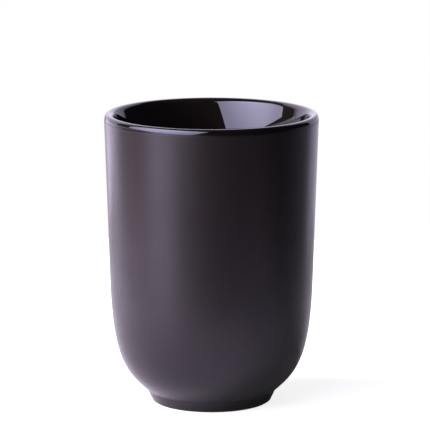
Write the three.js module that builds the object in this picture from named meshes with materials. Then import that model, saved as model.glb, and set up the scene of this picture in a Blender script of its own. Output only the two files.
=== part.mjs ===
// Handleless stoneware cup, standing on a low turned foot.
// A thick fired-clay body carries three separate coats of glaze: a gloss liner that is poured inside and
// laps over the lip, a satin coat outside, and a satin coat in the recess under the foot.
// Millimetres, +Z up, origin on the table at the centre of the foot.
import * as THREE from "three";

// Outside form, measured on the glazed surface
const cupHeight = 105.2; // table to the crest of the lip
const rimRadius = 38.5; // widest radius, just under the lip
const wallTaperDegrees = 1.85; // the wall leans in this much on the way down
const bellyStartHeight = 43.8; // the straight wall ends here
const bellyWallHandle = 28.1; // curve handle that runs down along the wall
const bellyFootHandle = 9.8; // curve handle that runs out from the foot
const bellyRiseDegrees = 41.5; // slope of the belly where it leaves the foot

// Foot
const footTopRadius = 23.4; // at the crease under the belly
const footBottomRadius = 21.4; // where its side would meet the table
const footHeight = 4.3; // table to the crease
const creaseRound = 2.0; // hollow fillet in the crease
const footLandWidth = 3.2; // bare ring that stands on the table
const footEdgeRound = 0.3; // broken edges of the bare ring
const recessHeight = 2.4; // table to the glaze under the base
const recessRound = 1.6; // fillet between the recess and the foot ring
const recessLeanDegrees = 20; // draft on the inner side of the foot ring

// Lip and inside form, measured on the glazed surface
const lipSideRound = 3; // outside, from the wall to where the crest begins
const lipSideTurnDegrees = 30; // how far the side round turns up
const lipCrestRound = 1.25; // outside, from the side round to the crest
const lipInnerRound = 2.2; // from the crest to the roll
const lipRollRound = 48; // long roll that thins the wall towards the lip, inside
const wallThickness = 6.2; // level thickness of the wall below the roll, glaze included
const bowlStartHeight = 45; // the inner wall turns into the bowl here
const bowlWallHandle = 34; // curve handle that runs down along the inner wall
const bowlFloorHandle = 22; // curve handle that runs out from the middle of the floor
const floorHeight = 8.2; // table to the glazed floor inside

// Glaze
const glazeThickness = 0.4; // every coat
const glossLapDepth = 2.4; // the gloss coat ends this far below the crest, outside
const footGlazeLine = 0.4; // the satin coats end this far above the table

// Facets
const turnSegments = 48;
const bellySteps = 11;
const bowlSteps = 9;
const roundSteps = 4;
const lipSteps = 3; // each round of the lip, outside

const wallTaper = THREE.MathUtils.degToRad(wallTaperDegrees);
const bellyRise = THREE.MathUtils.degToRad(bellyRiseDegrees);
const lipSideTurn = THREE.MathUtils.degToRad(lipSideTurnDegrees);
const recessLean = THREE.MathUtils.degToRad(recessLeanDegrees);

// Every profile point is (radius, height).
const point = (radius, height) => new THREE.Vector2(radius, height);

// A unit step in the profile plane, at an angle above the level.
const heading = (angle) => point(Math.cos(angle), Math.sin(angle));

// The place that lies a distance from a point, along a heading.
const along = (start, direction, distance) => start.clone().addScaledVector(direction, distance);

// Part of a circle, from one angle to another.
function arc(centre, radius, fromAngle, toAngle, steps) {
  const clockwise = toAngle < fromAngle;
  return new THREE.EllipseCurve(
    centre.x, centre.y, radius, radius, fromAngle, toAngle, clockwise,
  ).getPoints(steps);
}

// The rounded corner between two straight stretches that meet at a corner.
function fillet(before, corner, after, radius, steps) {
  const back = before.clone().sub(corner).normalize();
  const onward = after.clone().sub(corner).normalize();
  const halfAngle = Math.acos(back.dot(onward)) / 2;
  const setback = radius / Math.tan(halfAngle);
  const middle = back.clone().add(onward).normalize();
  const centre = along(corner, middle, radius / Math.sin(halfAngle));
  const start = along(corner, back, setback).sub(centre).angle();
  const end = along(corner, onward, setback).sub(centre).angle();
  const turn = Math.atan2(Math.sin(end - start), Math.cos(end - start));
  return arc(centre, radius, start, start + turn, steps);
}

// The same profile moved by a distance, to the left of the way it is drawn. Points on the axis stay on it.
function offset(points, distance) {
  return points.map((here, i) => {
    const before = points[Math.max(i - 1, 0)];
    const after = points[Math.min(i + 1, points.length - 1)];
    const arriving = here.clone().sub(before).normalize();
    const leaving = after.clone().sub(here).normalize();
    const ahead = arriving.clone().add(leaving).normalize();
    const spread = i > 0 && i < points.length - 1 ? ahead.dot(leaving) : 1;
    const moved = along(here, point(-ahead.y, ahead.x), distance / spread);
    return here.x === 0 ? point(0, here.y + distance * Math.sign(ahead.x || 1)) : moved;
  });
}

// Outside of the cup

const lipStep = lipSideRound - lipCrestRound; // between the centres of the two rounds
const crestRadius = rimRadius - lipSideRound + lipStep * Math.cos(lipSideTurn);
const lipCrestCentre = point(crestRadius, cupHeight - lipCrestRound);
const lipSideCentre = along(lipCrestCentre, heading(lipSideTurn), -lipStep);
const wallTop = along(lipSideCentre, heading(-wallTaper), lipSideRound);

// Radius of the straight wall, or of its line, at a height: outside and inside.
const wallRadiusAt = (height) => wallTop.x - (wallTop.y - height) * Math.tan(wallTaper);
const innerRadiusAt = (height) => wallRadiusAt(height) - wallThickness;

const wallUp = heading(Math.PI / 2 - wallTaper);
const bellyOut = heading(bellyRise);
const footBottom = point(footBottomRadius, 0);
const footTop = point(footTopRadius, footHeight);
const footUp = footTop.clone().sub(footBottom).normalize();
const wallBottom = point(wallRadiusAt(bellyStartHeight), bellyStartHeight);
const glossLapEdge = point(wallRadiusAt(cupHeight - glossLapDepth), cupHeight - glossLapDepth);
const footGlazeEdge = along(footBottom, footUp, footGlazeLine / footUp.y);

// From the glaze line on the foot up to the edge of the gloss coat.
function satinFace() {
  const crease = fillet(footBottom, footTop, along(footTop, bellyOut, 1), creaseRound, roundSteps);
  const bellyStart = crease.at(-1);
  const belly = new THREE.CubicBezierCurve(
    bellyStart,
    along(bellyStart, bellyOut, bellyFootHandle),
    along(wallBottom, wallUp, -bellyWallHandle),
    wallBottom,
  ).getPoints(bellySteps);
  return [footGlazeEdge, ...crease, ...belly.slice(1), glossLapEdge];
}

// From the edge of the gloss coat over the lip and down to the middle of the floor.
function glossFace() {
  const sideRound = arc(lipSideCentre, lipSideRound, -wallTaper, lipSideTurn, lipSteps);
  const crestRound = arc(lipCrestCentre, lipCrestRound, lipSideTurn, Math.PI / 2, lipSteps);
  const lipInnerCentre = point(crestRadius, cupHeight - lipInnerRound);
  const lipInset = (lipInnerCentre.x - innerRadiusAt(lipInnerCentre.y)) * Math.cos(wallTaper); // from the inner wall
  const rollTurn = Math.acos((lipRollRound - lipInset) / (lipRollRound - lipInnerRound));
  const wallFacing = Math.PI - wallTaper; // the inner wall faces the axis, and up a little
  const rollFacing = wallFacing - rollTurn;
  const innerRound = arc(lipInnerCentre, lipInnerRound, Math.PI / 2, rollFacing, roundSteps);
  const rollCentre = along(lipInnerCentre, heading(rollFacing), lipInnerRound - lipRollRound);
  const roll = arc(rollCentre, lipRollRound, rollFacing, wallFacing, roundSteps);
  const bowlTop = point(innerRadiusAt(bowlStartHeight), bowlStartHeight);
  const bowl = new THREE.CubicBezierCurve(
    bowlTop,
    along(bowlTop, wallUp, -bowlWallHandle),
    point(bowlFloorHandle, floorHeight),
    point(0, floorHeight),
  ).getPoints(bowlSteps);
  const lip = [...sideRound, ...crestRound.slice(1), ...innerRound.slice(1), ...roll.slice(1)];
  return [glossLapEdge, ...lip, ...bowl];
}

// Recess under the base

const landInnerRadius = footBottomRadius - footLandWidth;
const ringInnerUp = heading(Math.PI / 2 + recessLean); // up the inner side of the foot ring
const landInner = point(landInnerRadius, 0);
const recessGlazeEdge = along(landInner, ringInnerUp, footGlazeLine / ringInnerUp.y);

// From the middle of the recess out to the glaze line inside the foot ring.
function recessFace() {
  const corner = along(landInner, ringInnerUp, recessHeight / ringInnerUp.y);
  const middle = point(0, recessHeight);
  return [middle, ...fillet(middle, corner, landInner, recessRound, roundSteps), recessGlazeEdge];
}

const satin = satinFace();
const gloss = glossFace();
const recess = recessFace();

// The fired clay lies one coat of glaze behind the glazed face. The outside and the inside are offset as
// one line, so that both coats meet the clay, and each other, on the same points.
const clayFace = offset([...satin, ...gloss.slice(1)], glazeThickness);
const satinClay = clayFace.slice(0, satin.length);
const glossClay = clayFace.slice(satin.length - 1);
const recessClay = offset(recess, glazeThickness);

// The bare ring that stands on the table, from the recess glaze to the outside glaze.
function bareRing() {
  const insideEdge = recessClay.at(-1);
  const outsideEdge = satinClay[0];
  const insideCorner = along(insideEdge, ringInnerUp, -insideEdge.y / ringInnerUp.y);
  const outsideCorner = along(outsideEdge, footUp, -outsideEdge.y / footUp.y);
  return [
    ...fillet(insideEdge, insideCorner, outsideCorner, footEdgeRound, roundSteps),
    ...fillet(insideCorner, outsideCorner, outsideEdge, footEdgeRound, roundSteps),
  ];
}

// Materials

const bareClay = new THREE.MeshStandardMaterial({ color: 0x6b5e54, roughness: 0.9, metalness: 0 });
const glossGlaze = new THREE.MeshStandardMaterial({ color: 0x0d0b0b, roughness: 0.06, metalness: 0 });
const satinGlaze = new THREE.MeshStandardMaterial({ color: 0x2b272b, roughness: 0.45, metalness: 0 });

// A profile turned about the upright axis of the cup.
function turned(name, points, material) {
  const geometry = new THREE.LatheGeometry(points, turnSegments).rotateX(Math.PI / 2);
  const mesh = new THREE.Mesh(geometry, material);
  mesh.name = name;
  return mesh;
}

// The clay section runs out along the recess, round the foot, up outside, over the lip and down inside.
function clayBody() {
  return turned("clay_body", [...recessClay, ...bareRing(), ...clayFace], bareClay);
}

// A coat between its glazed face and the clay behind it, closed at both edges.
function satinCoat() {
  return turned("satin_outer_glaze", [...satin, ...satinClay.toReversed(), satin[0]], satinGlaze);
}

function glossLiner() {
  return turned("gloss_liner_glaze", [...glossClay.toReversed(), ...gloss], glossGlaze);
}

function recessCoat() {
  return turned("recess_glaze", [...recess, ...recessClay.toReversed()], satinGlaze);
}

const cup = new THREE.Group();
cup.name = "handleless_cup";
cup.add(clayBody(), glossLiner(), satinCoat(), recessCoat());

export default cup;
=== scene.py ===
import math
import bpy
from mathutils import Matrix, Quaternion, Vector
from mathutils.geometry import interpolate_bezier


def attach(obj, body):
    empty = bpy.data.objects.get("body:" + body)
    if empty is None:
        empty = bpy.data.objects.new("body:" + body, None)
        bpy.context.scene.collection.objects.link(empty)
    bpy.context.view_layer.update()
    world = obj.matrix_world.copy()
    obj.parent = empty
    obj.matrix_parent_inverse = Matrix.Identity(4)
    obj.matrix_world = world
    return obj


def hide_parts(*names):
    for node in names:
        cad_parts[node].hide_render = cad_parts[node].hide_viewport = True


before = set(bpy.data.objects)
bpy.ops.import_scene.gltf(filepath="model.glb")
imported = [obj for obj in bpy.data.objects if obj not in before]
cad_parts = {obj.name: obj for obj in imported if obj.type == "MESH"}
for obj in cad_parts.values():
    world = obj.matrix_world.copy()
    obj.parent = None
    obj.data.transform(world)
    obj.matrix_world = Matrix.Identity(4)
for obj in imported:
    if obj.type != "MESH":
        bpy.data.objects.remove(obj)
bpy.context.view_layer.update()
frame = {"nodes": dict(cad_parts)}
scene = bpy.context.scene
scene.view_settings.view_transform = "Standard"
print("cup frame loaded:", ", ".join(frame["nodes"]))

mm = 0.001  # profiles are drawn in millimetres, as (radius, height)
seamGap = 0.002 * mm  # points nearer than this become one
smoothUnder = 38  # degrees, edges that turn more than this stay crisp


# Profile drawing

def heading(degrees):
    return Vector((math.cos(math.radians(degrees)), math.sin(math.radians(degrees))))


def lineTo(start, end, steps):
    return [start.lerp(end, i / steps) for i in range(1, steps + 1)]


def arcLine(centre, radius, startDegrees, endDegrees, steps):
    turn = (endDegrees - startDegrees) / steps
    return [centre + radius * heading(startDegrees + turn * i) for i in range(steps + 1)]


def roundedCorner(before, corner, after, radius, steps):
    back = (before - corner).normalized()
    onward = (after - corner).normalized()
    halfAngle = back.angle(onward) / 2
    centre = corner + (back + onward).normalized() * radius / math.sin(halfAngle)
    start = corner + back * radius / math.tan(halfAngle) - centre
    end = corner + onward * radius / math.tan(halfAngle) - centre
    startDegrees = math.degrees(math.atan2(start.y, start.x))
    turn = math.degrees(math.atan2(start.x * end.y - start.y * end.x, start.dot(end)))
    return arcLine(centre, radius, startDegrees, startDegrees + turn, steps)


# The same line, moved to its left; a point on the cup's axis stays on it
def movedIn(points, distance):
    moved = []
    for i, here in enumerate(points):
        arriving = (here - points[max(i - 1, 0)]).normalized()
        leaving = (points[min(i + 1, len(points) - 1)] - here).normalized()
        ahead = (arriving + leaving).normalized()
        spread = ahead.dot(leaving) if 0 < i < len(points) - 1 else 1
        step = Vector((-ahead.y, ahead.x)) * distance / spread
        moved.append(here + (step if here.x > 0 else Vector((0, step.y))))
    return moved


# Outside of the cup, which the coats and the clay share

cupForm = {
    "height": 105.2,  # table to the crest of the lip
    "rimRadius": 38.5,  # widest, just under the lip
    "wallTaper": 1.85,  # degrees, the wall leans out on the way up
    "lipCrestRound": 1.25,
    "lipSideRound": 3.0,  # slower round between the wall and the crest
    "lipSideTurn": 30,  # degrees, where the two rounds meet
    "lapDepth": 2.4,  # the gloss coat comes down this far from the crest
    "footTopRadius": 23.4,  # at the crease under the belly
    "footBottomRadius": 21.4,  # where its side would meet the table
    "footHeight": 4.3,
    "glazeLine": 0.4,  # the satin coats end this far above the table
    "glazeThickness": 0.4,
}

crestToSide = (cupForm["lipSideRound"] - cupForm["lipCrestRound"]) * heading(cupForm["lipSideTurn"])
lipRadius = cupForm["rimRadius"] - cupForm["lipSideRound"] + crestToSide.x
crestCentre = Vector((lipRadius, cupForm["height"] - cupForm["lipCrestRound"]))
sideCentre = crestCentre - crestToSide
wallTop = sideCentre + cupForm["lipSideRound"] * heading(-cupForm["wallTaper"])
wallUp = heading(90 - cupForm["wallTaper"])


def wallRadius(height):
    return wallTop.x - (wallTop.y - height) * math.tan(math.radians(cupForm["wallTaper"]))


lapHeight = cupForm["height"] - cupForm["lapDepth"]
lapEdge = Vector((wallRadius(lapHeight), lapHeight))
footBottom = Vector((cupForm["footBottomRadius"], 0))
footTop = Vector((cupForm["footTopRadius"], cupForm["footHeight"]))
footUp = (footTop - footBottom).normalized()


# Modelling

# A small plane, which turnProfile merges to one vertex
def startPiece(name):
    bpy.ops.object.select_all(action="DESELECT")  # the CAD nodes come in selected
    bpy.ops.mesh.primitive_plane_add(size=mm, location=(0, 0, 0))
    piece = bpy.context.object
    piece.name = name
    piece.data.name = name
    return piece


# Pulls one vertex of the new piece along the profile, then spins the line round the cup's axis
def turnProfile(points, spinSteps):
    bpy.ops.object.mode_set(mode="EDIT")
    bpy.ops.mesh.select_mode(type="VERT")
    bpy.ops.mesh.select_all(action="SELECT")
    bpy.ops.mesh.merge(type="CENTER")
    here = points[0]
    bpy.ops.transform.translate(value=(here.x * mm, 0, here.y * mm))
    for there in points[1:]:
        pull = (there - here) * mm
        bpy.ops.mesh.extrude_vertices_move(TRANSFORM_OT_translate={"value": (pull.x, 0, pull.y)})
        here = there
    bpy.ops.mesh.select_all(action="SELECT")
    bpy.ops.mesh.spin(steps=spinSteps, angle=2 * math.pi, center=(0, 0, 0), axis=(0, 0, 1))
    bpy.ops.mesh.select_all(action="SELECT")
    bpy.ops.mesh.remove_doubles(threshold=seamGap)  # closes the seam and the middle
    bpy.ops.mesh.normals_make_consistent(inside=False)
    bpy.ops.object.mode_set(mode="OBJECT")


# An open skin may come out facing the clay: the face nearest to a place outside the glaze tells
def faceOutwards(piece, lookFrom):
    nearest = min(piece.data.polygons, key=lambda face: (face.center - lookFrom).length)
    if nearest.normal.dot(lookFrom - nearest.center) < 0:
        bpy.ops.object.mode_set(mode="EDIT")
        bpy.ops.mesh.select_all(action="SELECT")
        bpy.ops.mesh.flip_normals()
        bpy.ops.object.mode_set(mode="OBJECT")


def applyModifier(piece, kind, **settings):
    modifier = piece.modifiers.new(kind.title(), kind)
    for name, value in settings.items():
        setattr(modifier, name, value)
    bpy.ops.object.modifier_apply(modifier=modifier.name)


# Spins a glazed face and thickens it towards the clay
def turnCoat(name, points, form):
    piece = startPiece(name)
    turnProfile(points, form["spinSteps"])
    faceOutwards(piece, Vector(form["seenFrom"]))
    applyModifier(piece, "SOLIDIFY", thickness=cupForm["glazeThickness"] * mm, offset=-1.0,
                  use_even_offset=True)
    return piece


def bevelEdges(piece, form):
    applyModifier(piece, "BEVEL", width=form["bevel"] * mm, segments=form["bevelSteps"],
                  limit_method="ANGLE", angle_limit=math.radians(form["bevelOver"]))


def finishPiece(piece, node, material):
    bpy.ops.object.shade_smooth_by_angle(angle=math.radians(smoothUnder))
    piece.data.materials.append(material)
    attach(piece, "root")
    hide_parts(node)
    print("made", piece.name, len(piece.data.polygons), "faces")


# Materials

# sRGB hex code to linear colour
def hexColour(code):
    parts = [int(code[i:i + 2], 16) / 255 for i in (1, 3, 5)]
    return tuple(c / 12.92 if c <= 0.04045 else ((c + 0.055) / 1.055) ** 2.4 for c in parts) + (1.0,)


def addNode(tree, kind, settings={}, inputs={}):
    node = tree.nodes.new(kind)
    for name, value in settings.items():
        setattr(node, name, value)
    for name, value in inputs.items():
        if isinstance(value, bpy.types.NodeSocket):
            tree.links.new(value, node.inputs[name])
        else:
            node.inputs[name].default_value = value
    return node


def newMaterial(name):
    material = bpy.data.materials.new(name)
    material.use_nodes = True
    material.node_tree.nodes.clear()
    return material, material.node_tree


# Dark to pale over a look's span of noise
def setTones(ramp, look):
    for stop, place, shade in zip(ramp.elements, look["toneSpan"], (look["dark"], look["pale"])):
        stop.position = place
        stop.color = hexColour(shade)


satinGlazeLook = {
    "dark": "#130e0e",
    "pale": "#181312",
    "toneSpan": (0.32, 0.70),  # the noise that gives the dark shade, and the pale one
    "roughLow": 0.33,
    "roughHigh": 0.39,
    "roughSpan": (0.3, 0.7),  # the noise that gives the high roughness, and the low one
    "glancingRough": 0.62,  # times as rough at a glancing angle
    "glancingSpan": (0.4, 0.8),  # where that sets in and is full: 0 faces the eye, 1 is edge-on
    "ior": 1.5,
    "sheenTint": "#f2ecff",
    "cloudMm": 11,  # drifts of thicker and thinner glaze
    "grainMm": 1.4,  # real crystals are under 0.1 mm; drawn coarser so that they show
    "grainHeightMm": 0.004,
}


# Satin black stoneware glaze, sprayed and fired slowly: fine crystals on its skin spread the light, so it
# gives a wide soft sheen instead of a mirror image, and turns pale only at a glancing angle
def satinBlackGlaze(look):
    material, tree = newMaterial("satinBlackGlaze")
    place = addNode(tree, "ShaderNodeTexCoord").outputs["Object"]
    cloud = addNode(tree, "ShaderNodeTexNoise", {}, {
        "Vector": place, "Scale": 1 / (look["cloudMm"] * mm), "Detail": 3.0, "Roughness": 0.55})
    grain = addNode(tree, "ShaderNodeTexNoise", {}, {
        "Vector": place, "Scale": 1 / (look["grainMm"] * mm), "Detail": 2.0, "Roughness": 0.6})
    tone = addNode(tree, "ShaderNodeValToRGB", {}, {"Fac": cloud.outputs["Fac"]})
    setTones(tone.color_ramp, look)
    rough = addNode(tree, "ShaderNodeMapRange", {}, {
        "Value": cloud.outputs["Fac"], "From Min": look["roughSpan"][0], "From Max": look["roughSpan"][1],
        "To Min": look["roughHigh"], "To Max": look["roughLow"]})
    glancing = addNode(tree, "ShaderNodeLayerWeight", {}, {"Blend": 0.5})
    polish = addNode(tree, "ShaderNodeMapRange", {}, {
        "Value": glancing.outputs["Facing"],
        "From Min": look["glancingSpan"][0], "From Max": look["glancingSpan"][1],
        "To Min": 1.0, "To Max": look["glancingRough"]})
    roughHere = addNode(tree, "ShaderNodeMath", {"operation": "MULTIPLY"}, {
        0: rough.outputs["Result"], 1: polish.outputs["Result"]})
    bump = addNode(tree, "ShaderNodeBump", {}, {
        "Height": grain.outputs["Fac"], "Distance": look["grainHeightMm"] * mm, "Strength": 1.0})
    shader = addNode(tree, "ShaderNodeBsdfPrincipled", {}, {
        "Base Color": tone.outputs["Color"], "Roughness": roughHere.outputs["Value"],
        "IOR": look["ior"], "Specular Tint": hexColour(look["sheenTint"]),
        "Normal": bump.outputs["Normal"]})
    addNode(tree, "ShaderNodeOutputMaterial", {}, {"Surface": shader.outputs["BSDF"]})
    return material


glossGlazeLook = {
    "dark": "#070504",
    "pale": "#0b0806",
    "toneSpan": (0.3, 0.7),
    "rough": 0.035,
    "lapRough": 0.36,  # at the coat's edge outside
    "lapFadeMm": 1.5,  # height above that edge where the gloss is full
    "ior": 1.56,
    "mirrorTint": "#e2dfff",
    "flowMm": 16,  # slow ripples left by the melt as it ran
    "flowHeightMm": 0.006,
}


# Gloss black stoneware glaze, poured and fired to glass: deep black under a mirror skin, with slow ripples
# where the melt ran, and a softer edge where it thins out over the satin coat
def glossBlackGlaze(look):
    material, tree = newMaterial("glossBlackGlaze")
    place = addNode(tree, "ShaderNodeTexCoord").outputs["Object"]
    flow = addNode(tree, "ShaderNodeTexNoise", {}, {
        "Vector": place, "Scale": 1 / (look["flowMm"] * mm), "Detail": 1.0, "Roughness": 0.4})
    tone = addNode(tree, "ShaderNodeValToRGB", {}, {"Fac": flow.outputs["Fac"]})
    setTones(tone.color_ramp, look)
    axes = addNode(tree, "ShaderNodeSeparateXYZ", {}, {"Vector": place})
    lapFade = addNode(tree, "ShaderNodeMapRange", {"interpolation_type": "SMOOTHSTEP"}, {
        "Value": axes.outputs["Z"],
        "From Min": lapHeight * mm, "From Max": (lapHeight + look["lapFadeMm"]) * mm,
        "To Min": look["lapRough"], "To Max": look["rough"]})
    level = addNode(tree, "ShaderNodeVectorMath", {"operation": "MULTIPLY"}, {0: place, 1: (1.0, 1.0, 0.0)})
    radius = addNode(tree, "ShaderNodeVectorMath", {"operation": "LENGTH"}, {0: level.outputs["Vector"]})
    onLap = addNode(tree, "ShaderNodeMath", {"operation": "GREATER_THAN"}, {
        0: radius.outputs["Value"], 1: lipRadius * mm})
    roughHere = addNode(tree, "ShaderNodeMix", {"data_type": "FLOAT"}, {
        0: onLap.outputs["Value"], 2: look["rough"], 3: lapFade.outputs["Result"]})
    bump = addNode(tree, "ShaderNodeBump", {}, {
        "Height": flow.outputs["Fac"], "Distance": look["flowHeightMm"] * mm, "Strength": 1.0})
    shader = addNode(tree, "ShaderNodeBsdfPrincipled", {}, {
        "Base Color": tone.outputs["Color"], "Roughness": roughHere.outputs[0],
        "IOR": look["ior"], "Specular Tint": hexColour(look["mirrorTint"]),
        "Normal": bump.outputs["Normal"]})
    addNode(tree, "ShaderNodeOutputMaterial", {}, {"Surface": shader.outputs["BSDF"]})
    return material


bareClayLook = {
    "dark": "#5d5047",
    "pale": "#7b6d61",
    "toneSpan": (0.3, 0.7),
    "speck": "#332b26",
    "gritMm": 0.5,
    "gritHeightMm": 0.03,
    "speckMm": 2.2,  # spacing of the iron specks
    "speckSpan": (0.10, 0.16),  # shares of that spacing: all speck, and none
    "rough": 0.9,
    "ior": 1.5,
}


# Bare fired stoneware, wiped clean of glaze and rubbed on the kiln shelf: matt, warm grey-brown, gritty to
# the touch, with a few burnt iron specks
def bareStoneware(look):
    material, tree = newMaterial("bareStoneware")
    place = addNode(tree, "ShaderNodeTexCoord").outputs["Object"]
    grit = addNode(tree, "ShaderNodeTexNoise", {}, {
        "Vector": place, "Scale": 1 / (look["gritMm"] * mm), "Detail": 3.0, "Roughness": 0.65})
    specks = addNode(tree, "ShaderNodeTexVoronoi", {}, {
        "Vector": place, "Scale": 1 / (look["speckMm"] * mm)})
    tone = addNode(tree, "ShaderNodeValToRGB", {}, {"Fac": grit.outputs["Fac"]})
    setTones(tone.color_ramp, look)
    isSpeck = addNode(tree, "ShaderNodeMapRange", {}, {
        "Value": specks.outputs["Distance"],
        "From Min": look["speckSpan"][0], "From Max": look["speckSpan"][1],
        "To Min": 1.0, "To Max": 0.0})
    speckled = addNode(tree, "ShaderNodeMix", {"data_type": "RGBA"}, {
        0: isSpeck.outputs["Result"], 6: tone.outputs["Color"], 7: hexColour(look["speck"])})
    bump = addNode(tree, "ShaderNodeBump", {}, {
        "Height": grit.outputs["Fac"], "Distance": look["gritHeightMm"] * mm, "Strength": 1.0})
    shader = addNode(tree, "ShaderNodeBsdfPrincipled", {}, {
        "Base Color": speckled.outputs[2], "Roughness": look["rough"], "IOR": look["ior"],
        "Normal": bump.outputs["Normal"]})
    addNode(tree, "ShaderNodeOutputMaterial", {}, {"Surface": shader.outputs["BSDF"]})
    return material


satinGlaze = satinBlackGlaze(satinGlazeLook)
glossGlaze = glossBlackGlaze(glossGlazeLook)
bareClay = bareStoneware(bareClayLook)
print("glazes and clay mixed")


# Satin coat outside, from just above the table up to the gloss coat

satinCoat = {
    "bellyStart": 43.8,  # the straight wall ends at this height
    "bellyWallHandle": 28.1,  # curve handle that runs down along the wall
    "bellyFootHandle": 9.8,  # curve handle that runs out from the foot
    "bellyRise": 41.5,  # degrees, where the belly leaves the foot
    "creaseRound": 2.0,
    "edgeHold": 0.15,  # a ring this near each edge keeps the bevel's shading there
    "bevel": 0.1,
    "bevelSteps": 2,
    "bevelOver": 50,  # degrees, sharper edges than this are bevelled
    "footSteps": 6,
    "creaseSteps": 14,
    "bellyPoints": 44,
    "wallSteps": 24,
    "spinSteps": 192,
    "seenFrom": (0.2, 0, 0.07),  # metres, a place outside its glazed face
}


def satinLine(form):
    glazeEdge = footBottom + footUp * cupForm["glazeLine"] / footUp.y
    rise = heading(form["bellyRise"])
    crease = roundedCorner(footBottom, footTop, footTop + rise, form["creaseRound"], form["creaseSteps"])
    wallFoot = Vector((wallRadius(form["bellyStart"]), form["bellyStart"]))
    belly = interpolate_bezier(
        crease[-1], crease[-1] + rise * form["bellyFootHandle"],
        wallFoot - wallUp * form["bellyWallHandle"], wallFoot, form["bellyPoints"])
    footSide = lineTo(glazeEdge, crease[0], form["footSteps"])
    hold = form["edgeHold"]
    wall = lineTo(wallFoot, lapEdge - wallUp * hold, form["wallSteps"])
    return [glazeEdge, glazeEdge + footUp * hold] + footSide[:-1] + crease + belly[1:] + wall + [lapEdge]


satinPoints = satinLine(satinCoat)
satinPiece = turnCoat("satinOuterGlaze", satinPoints, satinCoat)
bevelEdges(satinPiece, satinCoat)
finishPiece(satinPiece, "satin_outer_glaze", satinGlaze)


# Gloss coat, from its edge outside over the lip and down to the middle of the floor

glossLiner = {
    "lipInnerRound": 2.2,
    "rollRound": 48,  # long roll that thins the wall towards the lip
    "wallThickness": 6.2,
    "bowlStart": 45,  # the inner wall turns into the bowl at this height
    "bowlWallHandle": 34,  # curve handle that runs down along the inner wall
    "bowlFloorHandle": 22,  # curve handle that runs out from the middle of the floor
    "floorHeight": 8.2,
    "lipSideSteps": 14,
    "lipCrestSteps": 16,
    "lipInnerSteps": 24,
    "rollSteps": 24,
    "wallSteps": 14,
    "bowlPoints": 40,
    "spinSteps": 192,
    "seenFrom": (0, 0, 0.3),  # metres, a place outside its glazed face
}


def glossLine(form):
    def innerRadius(height):
        return wallRadius(height) - form["wallThickness"]

    taper = cupForm["wallTaper"]
    sideTurn = cupForm["lipSideTurn"]
    lipSide = arcLine(sideCentre, cupForm["lipSideRound"], -taper, sideTurn, form["lipSideSteps"])
    lipCrest = arcLine(crestCentre, cupForm["lipCrestRound"], sideTurn, 90, form["lipCrestSteps"])
    innerCentre = Vector((lipRadius, cupForm["height"] - form["lipInnerRound"]))
    inset = (lipRadius - innerRadius(innerCentre.y)) * math.cos(math.radians(taper))
    rollReach = form["rollRound"] - form["lipInnerRound"]  # between the centres of the two inner rounds
    wallFacing = 180 - taper
    rollFacing = wallFacing - math.degrees(math.acos((form["rollRound"] - inset) / rollReach))
    lipInner = arcLine(innerCentre, form["lipInnerRound"], 90, rollFacing, form["lipInnerSteps"])
    rollCentre = innerCentre - heading(rollFacing) * rollReach
    roll = arcLine(rollCentre, form["rollRound"], rollFacing, wallFacing, form["rollSteps"])
    bowlTop = Vector((innerRadius(form["bowlStart"]), form["bowlStart"]))
    wall = lineTo(roll[-1], bowlTop, form["wallSteps"])
    bowl = interpolate_bezier(
        bowlTop, bowlTop - wallUp * form["bowlWallHandle"],
        Vector((form["bowlFloorHandle"], form["floorHeight"])), Vector((0, form["floorHeight"])),
        form["bowlPoints"])
    return [lapEdge] + lipSide + lipCrest[1:] + lipInner[1:] + roll[1:] + wall + bowl[1:]


glossPoints = glossLine(glossLiner)
glossPiece = turnCoat("glossLinerGlaze", glossPoints, glossLiner)
finishPiece(glossPiece, "gloss_liner_glaze", glossGlaze)


# Satin coat in the recess under the base

recessGlaze = {
    "landWidth": 3.2,  # bare ring that stands on the table
    "height": 2.4,
    "round": 1.6,
    "lean": 20,  # degrees, inner side of the foot ring
    "floorSteps": 10,
    "roundSteps": 12,
    "sideSteps": 2,
    "spinSteps": 160,
    "seenFrom": (0, 0, -0.3),  # metres, a place outside its glazed face
}

landInner = Vector((cupForm["footBottomRadius"] - recessGlaze["landWidth"], 0))
ringUp = heading(90 + recessGlaze["lean"])


def recessLine(form):
    middle = Vector((0, form["height"]))
    corner = landInner + ringUp * form["height"] / ringUp.y
    glazeEdge = landInner + ringUp * cupForm["glazeLine"] / ringUp.y
    turn = roundedCorner(middle, corner, landInner, form["round"], form["roundSteps"])
    floor = lineTo(middle, turn[0], form["floorSteps"])
    return [middle] + floor[:-1] + turn + lineTo(turn[-1], glazeEdge, form["sideSteps"])


recessPoints = recessLine(recessGlaze)
recessPiece = turnCoat("recessGlaze", recessPoints, recessGlaze)
finishPiece(recessPiece, "recess_glaze", satinGlaze)


# Clay body, one coat of glaze behind the glazed faces, bare on the ring that stands on the table

clayBody = {
    "bevel": 0.2,  # broken edges of the bare ring
    "bevelSteps": 3,
    "bevelOver": 40,  # degrees, sharper edges than this are bevelled
    "ringSteps": 4,
    "spinSteps": 192,
}


def clayLine(form):
    recessSide = movedIn(recessPoints, cupForm["glazeThickness"])
    outside = movedIn(satinPoints + glossPoints[1:], cupForm["glazeThickness"])
    ringInside = recessSide[-1] - ringUp * recessSide[-1].y / ringUp.y
    ringOutside = outside[0] - footUp * outside[0].y / footUp.y
    return recessSide + [ringInside] + lineTo(ringInside, ringOutside, form["ringSteps"]) + outside


clayPiece = startPiece("clayBody")
turnProfile(clayLine(clayBody), clayBody["spinSteps"])
bevelEdges(clayPiece, clayBody)
finishPiece(clayPiece, "clay_body", bareClay)


# White table top; its back edge meets the white of the room, and the others lie outside the picture

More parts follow.
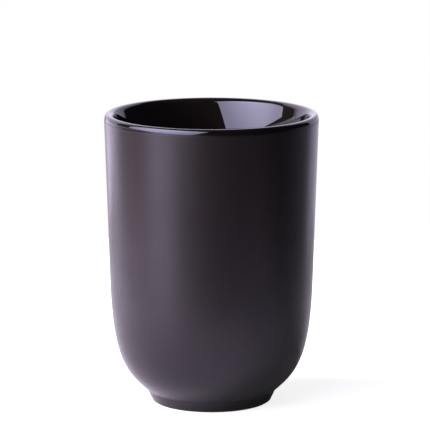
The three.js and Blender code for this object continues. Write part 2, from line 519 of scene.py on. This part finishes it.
whiteTable = {
    "left": -0.305, "right": 0.2, "front": -0.165, "back": 0.3,  # metres
    "drop": 0.05,  # millimetres below the foot, so that the two faces never share a plane
    "colour": "#9c9c9c",
    "glow": 0.85,  # lifts it to the white of the picture
    "mirrorGlow": 0.02,  # the same, as the glaze mirrors it
}


# Matt paint, rolled on a board: it has no shine, bounces light as a pale grey, and is white to the camera
def tablePaint(look):
    material, tree = newMaterial("whiteTablePaint")
    path = addNode(tree, "ShaderNodeLightPath")
    mirrored = addNode(tree, "ShaderNodeMath", {"operation": "MAXIMUM"}, {
        0: path.outputs["Is Glossy Ray"], 1: path.outputs["Is Transmission Ray"]})
    dim = addNode(tree, "ShaderNodeMath", {"operation": "MULTIPLY"}, {
        0: mirrored.outputs[0], 1: look["mirrorGlow"]})
    glow = addNode(tree, "ShaderNodeMath", {"operation": "MULTIPLY_ADD"}, {
        0: path.outputs["Is Camera Ray"], 1: look["glow"], 2: dim.outputs[0]})
    shader = addNode(tree, "ShaderNodeBsdfPrincipled", {}, {
        "Base Color": hexColour(look["colour"]), "Roughness": 0.9, "Specular IOR Level": 0.0,
        "Emission Color": hexColour("#ffffff"), "Emission Strength": glow.outputs[0]})
    addNode(tree, "ShaderNodeOutputMaterial", {}, {"Surface": shader.outputs["BSDF"]})
    return material


tableMiddle = ((whiteTable["left"] + whiteTable["right"]) / 2,
               (whiteTable["front"] + whiteTable["back"]) / 2, -whiteTable["drop"] * mm)
bpy.ops.object.select_all(action="DESELECT")
bpy.ops.mesh.primitive_plane_add(size=1, location=tableMiddle)
tableTop = bpy.context.object
tableTop.name = "whiteTable"
tableTop.scale = (whiteTable["right"] - whiteTable["left"], whiteTable["back"] - whiteTable["front"], 1)
tableTop.data.materials.append(tablePaint(whiteTable))
print("table laid")


# Studio: a big softbox to the left, six weaker lamps round the cup, a white sweep behind and a dark room

mouthMiddle = Vector((0, 0, 100 * mm))  # just under the rim; every lamp is placed from here

softbox = {
    "name": "softbox",
    "bearing": -65.6,  # degrees from the camera's side, negative is to the left
    "rise": 36.4,  # degrees above the mouth of the cup
    "distance": 0.85,  # metres
    "roll": -9.2, "nod": 17.4, "yaw": 23.9,  # degrees, how its face is turned away from square-on
    "width": 1.35, "height": 0.815,  # metres
    "watts": 27.5,
    "colour": "#f7f4ff",
    "hotSpot": (0.53, 0.9), "hotReach": 0.5,  # shares of its face, across and up
    "hotStretch": 0.35,  # the hot spot is taller than wide
    "brightest": 1.5, "dimmest": 0.68,  # times its watts
}

stripLight = {  # low sheen on the wall, front left
    "name": "stripLight",
    "bearing": -54,
    "rise": -8,
    "distance": 0.85,
    "width": 0.42, "height": 0.24,
    "watts": 1.42,
    "colour": "#f7f4ff",
}

sideLight = {  # left end of the lip's highlight, and the inside on the right
    "name": "sideLight",
    "bearing": -104,
    "rise": 5.7,
    "distance": 0.95,
    "width": 0.72, "height": 0.145,
    "watts": 0.46,
    "colour": "#f7f4ff",
}

edgeLight = {  # left outline
    "name": "edgeLight",
    "bearing": -133,
    "rise": -6,
    "distance": 0.85,
    "width": 0.58, "height": 0.3,
    "watts": 1.0,
    "colour": "#f2e9ff",
}

rightCard = {  # right of the wall
    "name": "rightCard",
    "bearing": 108,
    "rise": -8,
    "distance": 0.85,
    "width": 0.5, "height": 0.3,
    "watts": 0.1,
    "colour": "#f2e4ff",
}

backLight = {  # inner rim, on the right
    "name": "backLight",
    "bearing": -158,
    "rise": 25,
    "distance": 0.8,
    "width": 1.16, "height": 0.62,
    "watts": 1.95,
    "colour": "#f2e9ff",
}

tableLight = {  # the table that the belly and the foot mirror
    "name": "tableLight",
    "bearing": -88,
    "rise": 25,
    "distance": 0.32,
    "width": 0.2, "height": 0.2,
    "watts": 5.2,
    "colour": "#f2e4ff",
    "mirrored": False,  # the glaze doesn't show the lamp itself
}


# Brighter round one spot of the lamp's face
def addHotSpot(lamp, form):
    lamp.data.use_nodes = True
    tree = lamp.data.node_tree
    tree.nodes.clear()
    across, up = form["hotSpot"]
    face = addNode(tree, "ShaderNodeNewGeometry").outputs["Parametric"]
    place = addNode(tree, "ShaderNodeVectorMath", {"operation": "MULTIPLY"}, {
        0: face, 1: (1, form["hotStretch"], 0)})
    fromHotSpot = addNode(tree, "ShaderNodeVectorMath", {"operation": "DISTANCE"}, {
        0: place.outputs["Vector"], 1: (across, up * form["hotStretch"], 0)})
    level = addNode(tree, "ShaderNodeMapRange", {"interpolation_type": "SMOOTHSTEP"}, {
        "Value": fromHotSpot.outputs["Value"], "From Max": form["hotReach"],
        "To Min": form["brightest"], "To Max": form["dimmest"]})
    glow = addNode(tree, "ShaderNodeEmission", {}, {"Strength": level.outputs["Result"]})
    addNode(tree, "ShaderNodeOutputLight", {}, {"Surface": glow.outputs["Emission"]})


def hangLight(form):
    bearing = math.radians(form["bearing"])
    rise = math.radians(form["rise"])
    across = Vector((math.cos(bearing), math.sin(bearing), 0))
    outwards = math.cos(rise)
    toLamp = Vector((math.sin(bearing) * outwards, -math.cos(bearing) * outwards, math.sin(rise)))
    upright = toLamp.cross(across)
    turned = (Quaternion(toLamp, math.radians(form.get("roll", 0)))
              @ Quaternion(across, math.radians(form.get("nod", 0)))
              @ Quaternion(upright, math.radians(form.get("yaw", 0))))
    wide = turned @ across
    tall = turned @ upright
    bpy.ops.object.light_add(type="AREA", location=mouthMiddle + toLamp * form["distance"])
    lamp = bpy.context.object
    lamp.name = form["name"]
    lamp.rotation_euler = Matrix((wide, tall, wide.cross(tall))).transposed().to_euler()
    lamp.data.shape = "RECTANGLE"
    lamp.data.size = form["width"]
    lamp.data.size_y = form["height"]
    lamp.data.energy = form["watts"]
    lamp.data.color = hexColour(form["colour"])[:3]
    lamp.visible_camera = False
    lamp.visible_glossy = form.get("mirrored", True)
    if "hotSpot" in form:
        addHotSpot(lamp, form)


for form in (softbox, stripLight, sideLight, edgeLight, rightCard, backLight, tableLight):
    hangLight(form)

room = {
    "fill": 0.11,  # soft light from all round
    "dark": 0.03,  # what the glaze mirrors in front and overhead
    "sweepTurn": -2.5,  # degrees from straight behind, negative is to the left
    "sweepHalfWidth": 52,  # degrees to each side
    "sweepTop": 45,  # degrees above the level
    "sweepEdge": 4,  # degrees
    "mirrorColour": "#f0e7ff",
}


# White to the camera; the glaze mirrors a white sweep behind the cup and a dark room elsewhere
def lightRoom(look):
    world = bpy.data.worlds.new("studioRoom")
    scene.world = world
    world.use_nodes = True
    tree = world.node_tree
    tree.nodes.clear()
    path = addNode(tree, "ShaderNodeLightPath")
    direction = addNode(tree, "ShaderNodeTexCoord").outputs["Generated"]
    axes = addNode(tree, "ShaderNodeSeparateXYZ", {}, {"Vector": direction})
    bearing = addNode(tree, "ShaderNodeMath", {"operation": "ARCTAN2"}, {
        0: axes.outputs["X"], 1: axes.outputs["Y"]})
    turned = addNode(tree, "ShaderNodeMath", {"operation": "SUBTRACT"}, {
        0: bearing.outputs[0], 1: math.radians(look["sweepTurn"])})
    fromBack = addNode(tree, "ShaderNodeMath", {"operation": "ABSOLUTE"}, {0: turned.outputs[0]})
    rise = addNode(tree, "ShaderNodeMath", {"operation": "ARCSINE"}, {0: axes.outputs["Z"]})
    sweep = addNode(tree, "ShaderNodeMath", {"operation": "MINIMUM"})
    for socket, (angle, limit) in enumerate(((fromBack, look["sweepHalfWidth"]), (rise, look["sweepTop"]))):
        inSweep = addNode(tree, "ShaderNodeMapRange", {}, {
            "Value": angle.outputs[0],
            "From Min": math.radians(limit - look["sweepEdge"] / 2),
            "From Max": math.radians(limit + look["sweepEdge"] / 2),
            "To Min": 1.0, "To Max": look["dark"]})
        tree.links.new(inSweep.outputs["Result"], sweep.inputs[socket])
    mirrored = addNode(tree, "ShaderNodeMath", {"operation": "MAXIMUM"}, {
        0: path.outputs["Is Glossy Ray"], 1: path.outputs["Is Transmission Ray"]})
    fillOrSweep = addNode(tree, "ShaderNodeMix", {"data_type": "FLOAT"}, {
        0: mirrored.outputs[0], 2: look["fill"], 3: sweep.outputs[0]})
    strength = addNode(tree, "ShaderNodeMix", {"data_type": "FLOAT"}, {
        0: path.outputs["Is Camera Ray"], 2: fillOrSweep.outputs[0], 3: 1.0})
    colour = addNode(tree, "ShaderNodeMix", {"data_type": "RGBA"}, {
        0: path.outputs["Is Camera Ray"], 6: hexColour(look["mirrorColour"]), 7: hexColour("#ffffff")})
    background = addNode(tree, "ShaderNodeBackground", {}, {
        "Color": colour.outputs[2], "Strength": strength.outputs[0]})
    addNode(tree, "ShaderNodeOutputWorld", {}, {"Surface": background.outputs["Background"]})


lightRoom(room)
print("studio lit")


# Camera

shot = {
    "target": (0.00127, 0, 0.068),  # metres
    "distance": 1.155,  # metres
    "elevation": 10.75,  # degrees
    "lens": 268.2,  # millimetres
    "sensorWidth": 36,  # millimetres
}


def placeCamera(form):
    rise = math.radians(form["elevation"])
    back = Vector((0, -math.cos(rise), math.sin(rise)))
    bpy.ops.object.camera_add(location=Vector(form["target"]) + back * form["distance"])
    camera = bpy.context.object
    camera.name = "shotCamera"
    camera.data.lens = form["lens"]
    camera.data.sensor_width = form["sensorWidth"]
    camera.rotation_euler = (-back).to_track_quat("-Z", "Y").to_euler()
    scene.camera = camera


placeCamera(shot)
print("camera placed")
